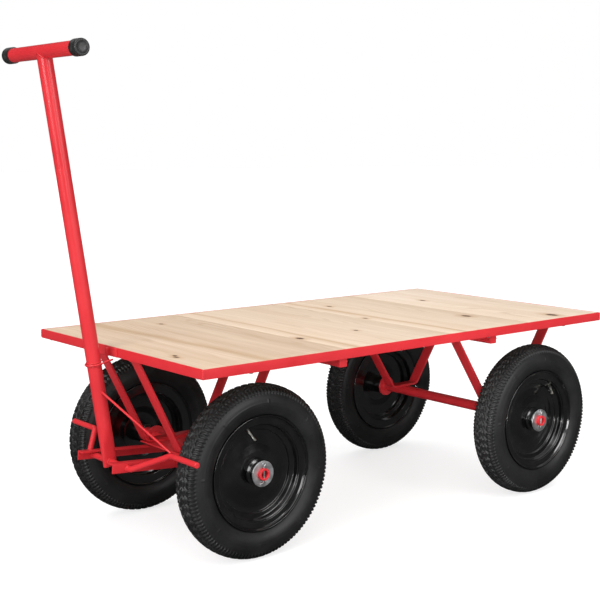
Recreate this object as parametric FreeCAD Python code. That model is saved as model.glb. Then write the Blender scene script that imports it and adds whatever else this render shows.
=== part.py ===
"""Four-wheel steerable platform cart with a folding pull handle.

Built in millimetres around the middle of the deck: +X forward to the handle end, +Y to the
cart's left side, +Z up, ground at Z = 0.  Every shape is moved by -X_CENTRE on export, so the
shared origin is the middle of the bounding box at ground level.
"""
import math
import os

import FreeCAD
import Part
from FreeCAD import Vector

os.makedirs("parts", exist_ok=True)

# ---------------------------------------------------------------- driving dimensions
DECK_LENGTH = 1200.0
DECK_WIDTH = 640.0
DECK_TOP = 432.0
ANGLE = 20.0            # rolled angle of the rim
ANGLE_T = 3.0
BOARD_GAP = 1.0
SEAMS = (240.0, -72.0, -336.0)

WHEEL_R = 182.5
TYRE_HALF = 35.0
WHEEL_X = 404.0
TRACK_FRONT = 216.0     # half track
TRACK_REAR = 268.0
VALVE_TURN = {"front_left": 15.0, "front_right": 100.0, "rear_left": -38.0, "rear_right": -12.0}

AXLE_R = 12.5
AXLE_BORE_R = 8.0
AXLE_STUB = 38.5        # axle end, outboard of the wheel middle
HUB_IN = 24.0
HUB_OUT = 26.0
HUB_R = 22.0
HUB_BORE_R = AXLE_R + 0.06
COLLAR_R = 26.0
COLLAR_T = 5.0
SLEEVE_R = 16.0         # front collar's sleeve, up to the hub
FRONT_COLLAR_Y = 156.0
END_PLAY = 0.3

BAR_T = 5.0             # hanger flat bar
BAR_W = 30.0
BEND_R = 10.0
FRONT_HANGER_Y = 66.5
REAR_HANGER_Y = 174.0
TUBE = 20.0             # square cross member
TUBE_WALL = 2.0

PLATE_T = 3.0           # turntable plates
PLATE_GAP = 0.4
KINGPIN_R = 6.0

PIVOT = Vector(616.0, 0.0, 194.0)
GRIP = Vector(741.5, 0.0, 1024.0)
ROD_R = 6.5
ARM_Y = 72.0
ARM_FRONT_X = 650.0
ARM_TOP_AXLE = 187.0
ARM_TOP_FRONT = 208.0
HANDLE_R = 15.0
GRIP_R = 14.0
GRIP_HALF = 150.0
CAP_R = 16.5
CAP_L = 24.0
STUB_R = 6.0
STUB_GAP = 0.4
STUB_Z = 237.5
HOOK_R = 2.0
HOOK_Z = 403.6

X_CENTRE = ((GRIP.x + CAP_R) - DECK_LENGTH / 2.0) / 2.0
RIM_BOTTOM = DECK_TOP - ANGLE
AXLE_Z = WHEEL_R

Y = Vector(0, 1, 0)
Z = Vector(0, 0, 1)
HANDLE_DIR = (GRIP - PIVOT).normalize()


# ---------------------------------------------------------------- helpers
def save(shape, name):
    moved = shape.copy()
    moved.translate(Vector(-X_CENTRE, 0, 0))
    moved.exportStep("parts/" + name + ".step")


def box(x0, x1, y0, y1, z0, z1):
    return Part.makeBox(x1 - x0, y1 - y0, z1 - z0, Vector(x0, y0, z0))


def rod(radius, start, end):
    return Part.makeCylinder(radius, (end - start).Length, start, end - start)


def tube(outer, inner, start, end):
    return rod(outer, start, end).cut(rod(inner, start, end))


def prism(points, direction):
    return Part.Face(Part.makePolygon(points + points[:1])).extrude(direction)


def mirror_y(shape):
    return shape.mirror(Vector(0, 0, 0), Y)


def swept(radius, points, bend):
    """Round bar along straight legs joined by arcs of the given bend radius."""
    edges = []
    last = points[0]
    for before, corner, after in zip(points, points[1:], points[2:]):
        into = (corner - before).normalize()
        out = (after - corner).normalize()
        half = into.getAngle(out) / 2.0
        cut = bend * math.tan(half)
        enter = corner - into * cut
        leave = corner + out * cut
        towards = (out - into).normalize()
        middle = corner + towards * (bend / math.cos(half) - bend)
        edges.append(Part.makeLine(last, enter))
        edges.append(Part.Arc(enter, middle, leave).toShape())
        last = leave
    edges.append(Part.makeLine(last, points[-1]))
    path = Part.Wire(edges)
    start = (points[1] - points[0]).normalize()
    ring = Part.Wire(Part.makeCircle(radius, points[0], start))
    return path.makePipeShell([ring], True, True)


def ring_about_y(profile, centre_x, centre_y, side):
    """Turn a (radius, outboard) profile about the axle line; side is +1 left, -1 right."""
    points = [Vector(centre_x, centre_y + side * s, AXLE_Z + r) for r, s in profile]
    face = Part.Face(Part.makePolygon(points + points[:1]))
    return face.revolve(Vector(centre_x, 0, AXLE_Z), Y, 360)


# ---------------------------------------------------------------- deck rim
def rail(length, half_other, name, turn, holes):
    """One mitred angle, drawn along Y at the +X edge, then turned about Z."""
    edge = half_other
    y0 = -length / 2.0
    y1 = length / 2.0
    upright = box(edge - ANGLE_T, edge, y0, y1, RIM_BOTTOM, DECK_TOP)
    flange = box(edge - ANGLE, edge - ANGLE_T, y0, y1, RIM_BOTTOM, RIM_BOTTOM + ANGLE_T)
    shape = upright.fuse(flange).removeSplitter()
    mitre = prism(
        [
            Vector(edge, y0, RIM_BOTTOM - 1),
            Vector(edge, y1, RIM_BOTTOM - 1),
            Vector(edge - 50, y1 - 50, RIM_BOTTOM - 1),
            Vector(edge - 50, y0 + 50, RIM_BOTTOM - 1),
        ],
        Vector(0, 0, ANGLE + 2),
    )
    shape = shape.common(mitre)
    for along in holes:
        at = Vector(edge - ANGLE / 2.0 - 1.0, along, RIM_BOTTOM - 1)
        shape = shape.cut(Part.makeCylinder(2.8, ANGLE_T + 2, at))
    shape.rotate(Vector(0, 0, 0), Z, turn)
    save(shape, name)


END_SCREWS = (-290.0, 290.0)
SIDE_SCREWS = (480.0, 80.0, -200.0, -470.0)
rail(DECK_WIDTH, DECK_LENGTH / 2.0, "rail_front", 0, END_SCREWS)
rail(DECK_WIDTH, DECK_LENGTH / 2.0, "rail_rear", 180, END_SCREWS)
rail(DECK_LENGTH, DECK_WIDTH / 2.0, "rail_left", 90, [-x for x in SIDE_SCREWS])
rail(DECK_LENGTH, DECK_WIDTH / 2.0, "rail_right", -90, SIDE_SCREWS)

inset = ANGLE / 2.0 + 1.0
SCREWS = [(sx * (DECK_LENGTH / 2.0 - inset), y) for sx in (1, -1) for y in END_SCREWS]
SCREWS += [(x, sy * (DECK_WIDTH / 2.0 - inset)) for sy in (1, -1) for x in SIDE_SCREWS]


def deck_screw(x, y):
    head = Part.makeCylinder(5.0, 3.4, Vector(x, y, RIM_BOTTOM - 3.4))
    head = head.makeFillet(1.4, [head.Edges[2]])
    shank = Part.makeCylinder(2.5, 15.0, Vector(x, y, RIM_BOTTOM))
    recess = box(x - 0.6, x + 0.6, y - 3, y + 3, RIM_BOTTOM - 4, RIM_BOTTOM - 2.2)
    return head.fuse(shank).cut(recess).removeSplitter()


save(Part.makeCompound([deck_screw(x, y) for x, y in SCREWS]), "deck_screws")

# ---------------------------------------------------------------- deck boards
BOARD_Z0 = RIM_BOTTOM + ANGLE_T
BOARD_Z1 = DECK_TOP
inside = DECK_LENGTH / 2.0 - ANGLE_T - BOARD_GAP
stops = [inside + BOARD_GAP / 2.0] + list(SEAMS) + [-inside - BOARD_GAP / 2.0]
half_board = DECK_WIDTH / 2.0 - ANGLE_T - BOARD_GAP
for number, (front, rear) in enumerate(zip(stops, stops[1:]), 1):
    x0 = rear + BOARD_GAP / 2.0
    x1 = front - BOARD_GAP / 2.0
    board = box(x0, x1, -half_board, half_board, BOARD_Z0, BOARD_Z1)
    for sx, sy in SCREWS:
        if x0 < sx < x1:
            board = board.cut(Part.makeCylinder(2.6, 13.0, Vector(sx, sy, BOARD_Z0 - 1)))
    save(board, "deck_board_%d" % number)


# ---------------------------------------------------------------- hangers and cross members
def bends_at(shape, height):
    """Edges across the bar at one height, where it turns from base to leg."""
    across = [edge for edge in shape.Edges if abs(edge.Length - BAR_W) < 0.01]
    return [edge for edge in across if all(abs(v.Z - height) < 0.01 for v in edge.Vertexes)]


def hanger(y, centre, base, half_low, half_high, member_side):
    """Flat bar bent to an open trapezoid, standing on its short base.

    member_side is the side (+1 forward, -1 rearward) whose leg ends under a cross member.
    """
    mid = base + BAR_T / 2.0
    top = RIM_BOTTOM + 12.0
    slope = (RIM_BOTTOM - mid) / (half_high - half_low)
    lean = math.atan(slope)
    spread = half_low + (top - mid) / slope
    out_x = math.sin(lean) * BAR_T / 2.0
    out_z = -math.cos(lean) * BAR_T / 2.0
    step = math.tan(lean / 2.0) * BAR_T / 2.0
    right = [
        (spread - out_x, top - out_z),
        (half_low - step, base + BAR_T),
        (half_low + step, base),
        (spread + out_x, top + out_z),
    ]
    left = [(-x, z) for x, z in right]
    outline = right[2:] + right[:2] + left[1::-1] + left[:1:-1]
    points = [Vector(centre + x, y - BAR_W / 2.0, z) for x, z in outline]
    shape = prism(points, Vector(0, BAR_W, 0))
    shape = shape.makeFillet(BEND_R + BAR_T, bends_at(shape, base))
    shape = shape.makeFillet(BEND_R, bends_at(shape, base + BAR_T))
    shape = shape.common(box(centre - 1000, centre + 1000, y - 50, y + 50, base - 10, RIM_BOTTOM))
    x0, x1 = sorted((centre, centre + member_side * 1000.0))
    return shape.cut(box(x0, x1, y - 50, y + 50, RIM_BOTTOM - TUBE, RIM_BOTTOM + 1))


def member_x(centre, base, half_low, half_high, member_side):
    """Where a hanger's inner leg meets the underside of its cross member."""
    mid = base + BAR_T / 2.0
    share = (RIM_BOTTOM - TUBE - mid) / (RIM_BOTTOM - mid)
    return centre + member_side * (half_low + share * (half_high - half_low))


PLATE_LOW = AXLE_Z + AXLE_R
PLATE_HIGH = PLATE_LOW + PLATE_T + PLATE_GAP
FRONT_BASE = PLATE_HIGH + PLATE_T
REAR_BASE = AXLE_Z + AXLE_R
FRONT_SPEC = (WHEEL_X + 6.0, FRONT_BASE, 76.0, 181.0, -1)
REAR_SPEC = (-WHEEL_X + 5.0, REAR_BASE, 42.0, 186.0, 1)
MEMBER_AHEAD = {"front": 0.0, "rear": 5.0}
CAP = 2.0               # plate that closes a cross member's end
members = []
for end, spec, y in (("front", FRONT_SPEC, FRONT_HANGER_Y), ("rear", REAR_SPEC, REAR_HANGER_Y)):
    for hand, sign in (("left", 1), ("right", -1)):
        save(hanger(sign * y, *spec), "hanger_%s_%s" % (end, hand))
    at = member_x(*spec) + MEMBER_AHEAD[end]
    reach = DECK_WIDTH / 2.0 - 14.0 - CAP
    half = TUBE / 2.0
    bore = half - TUBE_WALL
    middle = RIM_BOTTOM - half
    outside = box(at - half, at + half, -reach, reach, middle - half, middle + half)
    hollow = box(at - bore, at + bore, -reach, reach, middle - bore, middle + bore)
    members.append(outside.cut(hollow))
    for y0, y1 in ((reach, reach + CAP), (-reach - CAP, -reach)):
        members.append(box(at - half, at + half, y0, y1, middle - half, middle + half))
save(Part.makeCompound(members), "cross_members")

# ---------------------------------------------------------------- turntable and kingpin
plate = box(WHEEL_X - 86, WHEEL_X + 86, -83, 83, PLATE_HIGH, PLATE_HIGH + PLATE_T)
centre_hole = Part.makeCylinder(KINGPIN_R + 0.06, 60, Vector(WHEEL_X, 0, PLATE_LOW - 40))
save(plate.cut(centre_hole), "turntable_plate")
disc = Part.makeCylinder(75.0, PLATE_T, Vector(WHEEL_X, 0, PLATE_LOW))
save(disc.cut(centre_hole), "turntable_disc")

NUT_TOP = AXLE_Z - AXLE_R - 2.0
pin = Part.makeCylinder(KINGPIN_R, FRONT_BASE - NUT_TOP + 14.0, Vector(WHEEL_X, 0, NUT_TOP - 14.0))


def hexagon(width, height, base):
    radius = width / math.sqrt(3.0)
    corners = [
        Vector(base.x + radius * math.cos(math.radians(60 * k)),
               base.y + radius * math.sin(math.radians(60 * k)), base.z)
        for k in range(6)
    ]
    return prism(corners, Vector(0, 0, height))


head = hexagon(19.0, 7.5, Vector(WHEEL_X, 0, FRONT_BASE))
save(pin.fuse(head).removeSplitter(), "kingpin")
nut = hexagon(19.0, 10.0, Vector(WHEEL_X, 0, NUT_TOP - 10.5))
washer = Part.makeCylinder(12.0, 0.5, Vector(WHEEL_X, 0, NUT_TOP - 0.5))
nut = nut.fuse(washer).removeSplitter()
save(nut.cut(Part.makeCylinder(KINGPIN_R, 40, Vector(WHEEL_X, 0, NUT_TOP - 20))), "kingpin_nut")


# ---------------------------------------------------------------- axles
def pin_spots(track):
    return [sign * (track + HUB_OUT + 8.6) for sign in (1, -1)]


def axle(x, track, name, cross_hole):
    reach = track + AXLE_STUB
    shape = tube(AXLE_R, AXLE_BORE_R, Vector(x, -reach, AXLE_Z), Vector(x, reach, AXLE_Z))
    for y in pin_spots(track):
        shape = shape.cut(Part.makeCylinder(2.3, 40, Vector(x, y, AXLE_Z - 20)))
    if cross_hole:
        shape = shape.cut(centre_hole)
    save(shape, name)


def on_axle(x, y0, y1, radius):
    """Ring on the axle, on both sides of the cart."""
    left = tube(radius, AXLE_R + 0.05, Vector(x, y0, AXLE_Z), Vector(x, y1, AXLE_Z))
    return Part.makeCompound([left, mirror_y(left)])


def washers(x, track, name):
    rings = []
    for start, radius in ((HUB_OUT + 0.3, 25.0), (HUB_OUT + 3.0, 27.0)):
        rings += on_axle(x, track + start, track + start + 2.5, radius).Solids
    save(Part.makeCompound(rings), name)


def split_pins(x, track, name):
    pins = []
    for y in pin_spots(track):
        shank = rod(2.0, Vector(x, y, AXLE_Z - 21), Vector(x, y, AXLE_Z + 17))
        eye = Part.makeTorus(3.4, 1.2, Vector(x, y, AXLE_Z + 20.0), Y)
        pins.append(shank.fuse(eye).removeSplitter())
    save(Part.makeCompound(pins), name)


axle(-WHEEL_X, TRACK_REAR, "rear_axle", False)
axle(WHEEL_X, TRACK_FRONT, "front_axle", True)
rear_collar = TRACK_REAR - HUB_IN - END_PLAY
save(on_axle(-WHEEL_X, rear_collar - COLLAR_T, rear_collar, COLLAR_R), "rear_collars")
flange = on_axle(WHEEL_X, FRONT_COLLAR_Y - COLLAR_T, FRONT_COLLAR_Y, COLLAR_R)
sleeve = on_axle(WHEEL_X, FRONT_COLLAR_Y - 1.0, TRACK_FRONT - HUB_IN - END_PLAY, SLEEVE_R)
save(Part.makeCompound(flange.fuse(sleeve).removeSplitter().Solids), "front_collars")
for end, x, track in (("front", WHEEL_X, TRACK_FRONT), ("rear", -WHEEL_X, TRACK_REAR)):
    washers(x, track, end + "_washers")
    split_pins(x, track, end + "_split_pins")

# ---------------------------------------------------------------- wheels
BARREL = [
    (120.0, 28.3), (120.0, 22.8), (102.5, 22.8), (102.5, 10.0), (90.0, 7.0),
    (90.0, -7.0), (102.5, -10.0), (102.5, -22.8), (120.0, -22.8), (120.0, -28.3),
    (117.5, -28.3), (117.5, -25.3), (100.0, -25.3), (100.0, -10.6), (87.5, -7.6),
    (87.5, 7.6), (100.0, 10.6), (100.0, 25.3), (117.5, 25.3), (117.5, 28.3),
]
DISC = [
    (87.45, 4.0), (60.0, 4.0), (46.0, 9.0), (22.1, 9.0),
    (22.1, 6.0), (45.0, 6.0), (59.0, 1.0), (87.45, 1.0),
]
HUB = [
    (HUB_BORE_R, -HUB_IN), (18.5, -HUB_IN), (HUB_R, -HUB_IN + 3.0), (HUB_R, 9.2),
    (28.0, 9.2), (28.0, 13.0), (HUB_R, 15.0), (HUB_R, HUB_OUT - 8.0),
    (24.0, HUB_OUT - 8.0), (24.0, HUB_OUT - 1.5), (22.5, HUB_OUT), (HUB_BORE_R, HUB_OUT),
]


def arc_points(radius_at, steps):
    return [radius_at(k / float(steps)) for k in range(steps + 1)]


def tyre_section():
    """Half-round carcass: bulged outer wall, crown flattened, hollow inside."""
    def outer(t):
        angle = math.pi * t
        wide = TYRE_HALF * math.copysign(abs(math.cos(angle)) ** 0.82, math.cos(angle))
        high = 42.5 * abs(math.sin(angle)) ** 0.86
        return (WHEEL_R - 42.5 + high, wide)

    def inner(t):
        angle = math.pi * (1.0 - t)
        wide = (TYRE_HALF - 7.0) * math.copysign(abs(math.cos(angle)) ** 0.82, math.cos(angle))
        high = 31.0 * abs(math.sin(angle)) ** 0.86
        return (WHEEL_R - 42.5 + high, wide)

    wall = [(102.8, 22.4), (120.6, 22.4), (124.5, 29.0)]
    back = [(124.5, -29.0), (120.6, -22.4), (102.8, -22.4)]
    lining = [(102.8, -14.5), (118.0, -15.5), (126.0, -24.0)]
    lining_end = [(126.0, 24.0), (118.0, 15.5), (102.8, 14.5)]
    return wall + arc_points(outer, 20) + back + lining + arc_points(inner, 20) + lining_end


TYRE = tyre_section()


def wheel(name, x, track, side):
    y = side * track
    save(ring_about_y(TYRE, x, y, side), "tyre_" + name)
    save(ring_about_y(DISC, x, y, side), "rim_disc_" + name)
    rim = ring_about_y(BARREL, x, y, side)
    hub = ring_about_y(HUB, x, y, side)
    turn = math.radians(VALVE_TURN[name])
    root = Vector(x + 98.0 * math.sin(turn), y + side * 8.0, AXLE_Z + 98.0 * math.cos(turn))
    tip = Vector(x + 74.0 * math.sin(turn), y + side * 31.0, AXLE_Z + 74.0 * math.cos(turn))
    along = (tip - root).normalize()
    rim = rim.cut(rod(4.3, root - along * 4, tip))
    save(rim, "rim_" + name)
    save(hub, "hub_" + name)
    stem = rod(4.0, root, tip - along * 8)
    neck = rod(2.6, tip - along * 8, tip - along * 6)
    cap = rod(3.6, tip - along * 6, tip)
    save(stem.fuse([neck, cap]).removeSplitter(), "valve_" + name)


for end, x, track in (("front", WHEEL_X, TRACK_FRONT), ("rear", -WHEEL_X, TRACK_REAR)):
    wheel(end + "_left", x, track, 1)
    wheel(end + "_right", x, track, -1)


# ---------------------------------------------------------------- yoke arms
def arm_top(x):
    share = (x - WHEEL_X) / (ARM_FRONT_X - WHEEL_X)
    return ARM_TOP_AXLE + share * (ARM_TOP_FRONT - ARM_TOP_AXLE)


def yoke_arm():
    """Left arm: sloping angle, upright web outside, flange turned inward on top."""
    ends = (WHEEL_X, ARM_FRONT_X)
    web = [Vector(x, ARM_Y - ANGLE_T, arm_top(x)) for x in ends]
    web += [Vector(x, ARM_Y - ANGLE_T, arm_top(x) - ANGLE) for x in reversed(ends)]
    top = [Vector(x, ARM_Y - ANGLE, arm_top(x)) for x in ends]
    top += [Vector(x, ARM_Y - ANGLE, arm_top(x) - ANGLE_T) for x in reversed(ends)]
    shape = prism(web, Vector(0, ANGLE_T, 0)).fuse(prism(top, Vector(0, ANGLE - ANGLE_T, 0)))
    shape = shape.removeSplitter()
    shape = shape.cut(rod(AXLE_R, Vector(WHEEL_X, 0, AXLE_Z), Vector(WHEEL_X, 200, AXLE_Z)))
    shape = shape.cut(box(WHEEL_X - 20, WHEEL_X + 4, 0, 200, 100, 250))
    return shape.cut(rod(ROD_R + 0.07, PIVOT, PIVOT + Y * 200))


left_arm = yoke_arm()
save(left_arm, "yoke_arm_left")
save(mirror_y(left_arm), "yoke_arm_right")

# ---------------------------------------------------------------- folding handle
FOOT_END = 78.0
FOOT_BELOW = 10.0
FOOT_HALF = 15.2


def handle_frame(along, section):
    """Place a wire drawn in the XY plane square to the handle, a distance up from the pivot."""
    placed = section.copy()
    placed.rotate(Vector(0, 0, 0), Y, math.degrees(math.atan2(HANDLE_DIR.x, HANDLE_DIR.z)))
    placed.translate(PIVOT + HANDLE_DIR * along)
    return placed


def oval(half_x, half_y, corner):
    flat = Part.makePlane(2 * half_x, 2 * half_y, Vector(-half_x, -half_y, 0))
    solid = flat.extrude(Vector(0, 0, 1))
    upright = [edge for edge in solid.Edges if abs(edge.Vertexes[0].Z - edge.Vertexes[1].Z) > 0.5]
    solid = solid.makeFillet(corner, upright)
    lowest = min(solid.Faces, key=lambda face: face.CenterOfMass.z)
    return lowest.OuterWire


flat_low = handle_frame(-FOOT_BELOW, oval(FOOT_HALF, 6.0, 5.5))
flat_high = handle_frame(24, oval(FOOT_HALF, 6.0, 5.5))
waist = handle_frame(52, oval(FOOT_HALF, 11.0, 10.5))
mouth = handle_frame(FOOT_END, oval(HANDLE_R, HANDLE_R, HANDLE_R - 0.1))
flat = Part.makeLoft([flat_low, flat_high], True, True)
bell = Part.makeLoft([flat_high, waist, mouth], True, False)
foot = flat.fuse(bell).removeSplitter()
foot = foot.cut(rod(ROD_R, PIVOT - Y * 30, PIVOT + Y * 30))
save(foot, "handle_foot")

shaft = tube(HANDLE_R, HANDLE_R - 2.0, PIVOT + HANDLE_DIR * FOOT_END, GRIP)
shaft = shaft.cut(rod(GRIP_R, GRIP - Y * 60, GRIP + Y * 60))
save(shaft, "handle_tube")
tube_end = GRIP_HALF - 4.0
save(tube(GRIP_R, GRIP_R - 2.0, GRIP - Y * tube_end, GRIP + Y * tube_end), "grip_tube")


def grip_cap():
    outside = rod(CAP_R, GRIP + Y * (GRIP_HALF - CAP_L), GRIP + Y * GRIP_HALF)
    rim = [edge for edge in outside.Edges if abs(edge.CenterOfMass.y - GRIP_HALF) < 0.01]
    outside = outside.makeFillet(2.5, rim)
    return outside.cut(rod(GRIP_R, GRIP, GRIP + Y * tube_end))


save(grip_cap(), "grip_cap_left")
save(mirror_y(grip_cap()), "grip_cap_right")

ROD_HALF = 76.0
save(rod(ROD_R, PIVOT - Y * ROD_HALF, PIVOT + Y * ROD_HALF), "handle_cross_rod")


# ---------------------------------------------------------------- brake bars on the handle
def stub_x():
    reach = WHEEL_R + STUB_R + STUB_GAP
    return WHEEL_X + math.sqrt(reach ** 2 - (STUB_Z - AXLE_Z) ** 2)


def brake_bar(inner_y, outer_y, side, radius):
    """Round bar from the rod end, out and back to the tread, then along the axle line."""
    points = [
        Vector(PIVOT.x, side * ROD_HALF, PIVOT.z),
        Vector(PIVOT.x, side * (ROD_HALF + 8.0), PIVOT.z),
        Vector(stub_x(), side * inner_y, STUB_Z),
        Vector(stub_x(), side * outer_y, STUB_Z),
    ]
    return swept(radius, points, 9.0)


LEFT_INNER = 184.0
LEFT_OUTER = 276.0
RIGHT_INNER = 113.0
RIGHT_OUTER = 204.0
save(brake_bar(LEFT_INNER, LEFT_OUTER, 1, STUB_R), "brake_bar_left")
save(brake_bar(RIGHT_INNER, RIGHT_OUTER, -1, STUB_R), "brake_bar_right")

brace_top = PIVOT + HANDLE_DIR * 153.0 + Y * 6.0
brace_low = Vector(stub_x() + 1.0, LEFT_INNER + 1.0, STUB_Z)
brace = rod(2.5, brace_top, brace_low).cut(rod(HANDLE_R, PIVOT, GRIP))
brace = brace.cut(brake_bar(LEFT_INNER, LEFT_OUTER, 1, STUB_R + 0.01))
longest = max(brace.Solids, key=lambda solid: solid.Volume)
save(longest, "brake_brace")

# ---------------------------------------------------------------- hook and its catch
hook_at = PIVOT + HANDLE_DIR * ((HOOK_Z - PIVOT.z) / HANDLE_DIR.z)
ring_r = HANDLE_R + HOOK_R + 0.4


def hook_point(angle, radius):
    """Point round the handle in the plane square to it; angle 0 is forward, 90 is left."""
    forward = Y.cross(HANDLE_DIR)
    turn = math.radians(angle)
    return hook_at + forward * (radius * math.cos(turn)) + Y * (radius * math.sin(turn))


start = hook_point(-128, ring_r)
leave = hook_point(105, ring_r)
bend = Part.Arc(start, hook_point(-12, ring_r), leave).toShape()
straight_end = leave + (hook_point(105.5, ring_r) - leave).normalize() * 34.0
path = Part.Wire([bend, Part.makeLine(leave, straight_end)])
first = (hook_point(-127.5, ring_r) - start).normalize()
wire = path.makePipeShell([Part.Wire(Part.makeCircle(HOOK_R, start, first))], True, True)
nose = Part.makeSphere(HOOK_R, straight_end)
save(wire.fuse(nose).removeSplitter(), "handle_hook")


KEEPER_T = 1.5
KEEPER_L = 2.0


def keeper(offset):
    base = hook_at + HANDLE_DIR * offset
    return tube(HANDLE_R + KEEPER_T, HANDLE_R, base, base + HANDLE_DIR * KEEPER_L)


save(Part.makeCompound([keeper(HOOK_R + 0.6), keeper(-HOOK_R - 0.6 - KEEPER_L)]), "hook_keepers")
CATCH_X = DECK_LENGTH / 2.0
catch = box(CATCH_X, CATCH_X + 3, -22, 14, RIM_BOTTOM + 0.5, DECK_TOP - 1)
lip = box(CATCH_X + 2, CATCH_X + 10, -20, -16, RIM_BOTTOM + 0.5, DECK_TOP - 1)
save(catch.fuse(lip).removeSplitter(), "hook_catch")
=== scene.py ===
# %% [markdown]
# # A platform cart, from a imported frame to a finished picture
#
# The steel and rubber sizes of this cart are already fixed in a CAD frame: every piece has its
# place, in metres, with the ground at z = 0, +x towards the pull handle and +y to the cart's left.
# This lesson dresses that frame.  Each new piece is a surface worked out as whole numpy arrays,
# then handed to Blender as one mesh that already sits in its place.

import math

import bmesh
import bpy
import numpy as np
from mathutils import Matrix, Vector


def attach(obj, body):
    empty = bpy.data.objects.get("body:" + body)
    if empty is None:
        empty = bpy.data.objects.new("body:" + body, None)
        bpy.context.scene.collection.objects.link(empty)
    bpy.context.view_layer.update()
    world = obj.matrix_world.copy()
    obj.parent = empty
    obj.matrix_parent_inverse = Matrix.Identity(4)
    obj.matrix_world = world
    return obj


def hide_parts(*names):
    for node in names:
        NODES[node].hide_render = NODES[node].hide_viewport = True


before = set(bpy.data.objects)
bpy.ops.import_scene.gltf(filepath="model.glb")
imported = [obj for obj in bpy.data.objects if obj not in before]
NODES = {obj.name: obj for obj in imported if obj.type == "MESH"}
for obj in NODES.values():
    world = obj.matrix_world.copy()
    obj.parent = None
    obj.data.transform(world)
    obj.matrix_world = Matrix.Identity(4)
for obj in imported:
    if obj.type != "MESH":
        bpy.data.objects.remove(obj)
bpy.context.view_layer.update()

# %% [markdown]
# ## Main sizes
#
# These are the cart's own measures.  Heights are above the floor, and places along x are from
# the middle of the whole cart, handle included, which lies 79 mm ahead of the deck's middle.

# %% Main sizes
DECK_MIDDLE = -0.079
DECK_HALF = (0.600, 0.320)
DECK_TOP = 0.432
ANGLE = 0.020
ANGLE_WALL = 0.003
RIM_BOTTOM = DECK_TOP - ANGLE
SEAMS = [0.240, -0.072, -0.336]
WHEEL_R = 0.1825
AXLE_R = 0.0125
AXLE_REACH = {"front": 0.2545, "rear": 0.3065}
AXLE_X = {"front": 0.325, "rear": -0.483}
HALF_TRACK = {"front": 0.216, "rear": 0.268}
PIVOT = np.array([0.537, 0.0, 0.194])
GRIP = np.array([0.6625, 0.0, 1.024])
UP_HANDLE = (GRIP - PIVOT) / np.linalg.norm(GRIP - PIVOT)
WHEELS = {
    end + "_" + hand: (AXLE_X[end], side * HALF_TRACK[end], side)
    for end in ("front", "rear")
    for hand, side in (("left", 1), ("right", -1))
}
print(len(WHEELS), "wheels of", round(2 * WHEEL_R, 3), "m")

# %% [markdown]
# ## Shape helpers
#
# Nearly every piece of a welded cart is a section carried along a line: bent bar, tube, angle
# and weld bead.  A turned piece is the same idea round an axle.  So one helper, `loft`, joins
# rings of points, and the others only work out where the rings go.  Curved walls shade
# smoothly, and edges sharper than 40 degrees stay crisp.

# %% Rings joined into skins, and skins into one mesh
SHARP = math.radians(40)


def loft(rings, caps=True, closed=False):
    """Skin through rings[k, m]: quads join ring k to k+1 and point m to m+1, round and round.

    caps puts one flat face on the first and last ring; closed joins the last ring to the first.
    """
    count, around = rings.shape[:2]
    last = count if closed else count - 1
    k, m = np.meshgrid(np.arange(last), np.arange(around), indexing="ij")
    next_k = (k + 1) % count
    next_m = (m + 1) % around
    corners = [k * around + m, k * around + next_m, next_k * around + next_m, next_k * around + m]
    faces = np.stack(corners, -1).reshape(-1, 4).tolist()
    if caps and not closed:
        faces.append(list(range(around)))
        faces.append(list(range((count - 1) * around, count * around)))
    return rings.reshape(-1, 3), faces


def in_scene(name, data):
    """A new object for that mesh, lamp or camera."""
    item = bpy.data.objects.new(name, data)
    bpy.context.scene.collection.objects.link(item)
    return item


def make(name, skins, finish, body, replaced=(), sharp=SHARP):
    """One object from several skins: merged where they meet, normals outward, riding a body."""
    points = []
    faces = []
    for skin_points, skin_faces in skins:
        start = len(points)
        points.extend(skin_points.tolist())
        faces.extend([[start + corner for corner in face] for face in skin_faces])
    mesh = bpy.data.meshes.new(name)
    mesh.from_pydata(points, [], faces)
    work = bmesh.new()
    work.from_mesh(mesh)
    bmesh.ops.remove_doubles(work, verts=work.verts, dist=1e-6)
    bmesh.ops.dissolve_degenerate(work, edges=work.edges, dist=1e-7)
    bmesh.ops.recalc_face_normals(work, faces=work.faces)
    work.to_mesh(mesh)
    work.free()
    mesh.shade_smooth()
    mesh.set_sharp_from_angle(angle=sharp)
    mesh.materials.append(finish)
    piece = in_scene(name, mesh)
    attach(piece, body)
    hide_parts(*replaced)
    return piece


# %% [markdown]
# A bent bar has straight legs joined by arcs.  Each corner is cut back by the bend's radius
# times the tangent of half the turn, and the arc between is a fan of points about one centre.

# %% Bent lines and the frames that travel along them
def bent(corners, radius, steps=8):
    """Points along straight legs whose corners are arcs of that radius, or of one radius each."""
    corners = np.array(corners, float)
    radii = np.broadcast_to(radius, len(corners) - 2)
    line = [corners[:1]]
    for before, corner, after, radius in zip(corners, corners[1:], corners[2:], radii):
        into = (corner - before) / np.linalg.norm(corner - before)
        out = (after - corner) / np.linalg.norm(after - corner)
        turn = math.acos(float(np.clip(into @ out, -1, 1)))
        side = (out - into @ out * into) / max(math.sin(turn), 1e-9)
        start = corner - into * radius * math.tan(turn / 2)
        angle = np.linspace(0, turn, steps)[:, None]
        arc = start + radius * (np.sin(angle) * into + (1 - np.cos(angle)) * side)
        line.append(arc)
    line.append(corners[-1:])
    return np.concatenate(line)


def divided(line, spacing):
    """The same line with points no further apart than spacing, by length along it."""
    line = np.array(line, float)
    steps = np.linalg.norm(np.diff(line, axis=0), axis=1)
    along = np.concatenate([[0], np.cumsum(steps)])
    count = max(2, int(along[-1] / spacing) + 1)
    wanted = np.linspace(0, along[-1], count)
    return np.stack([np.interp(wanted, along, line[:, axis]) for axis in range(3)], -1)


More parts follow.
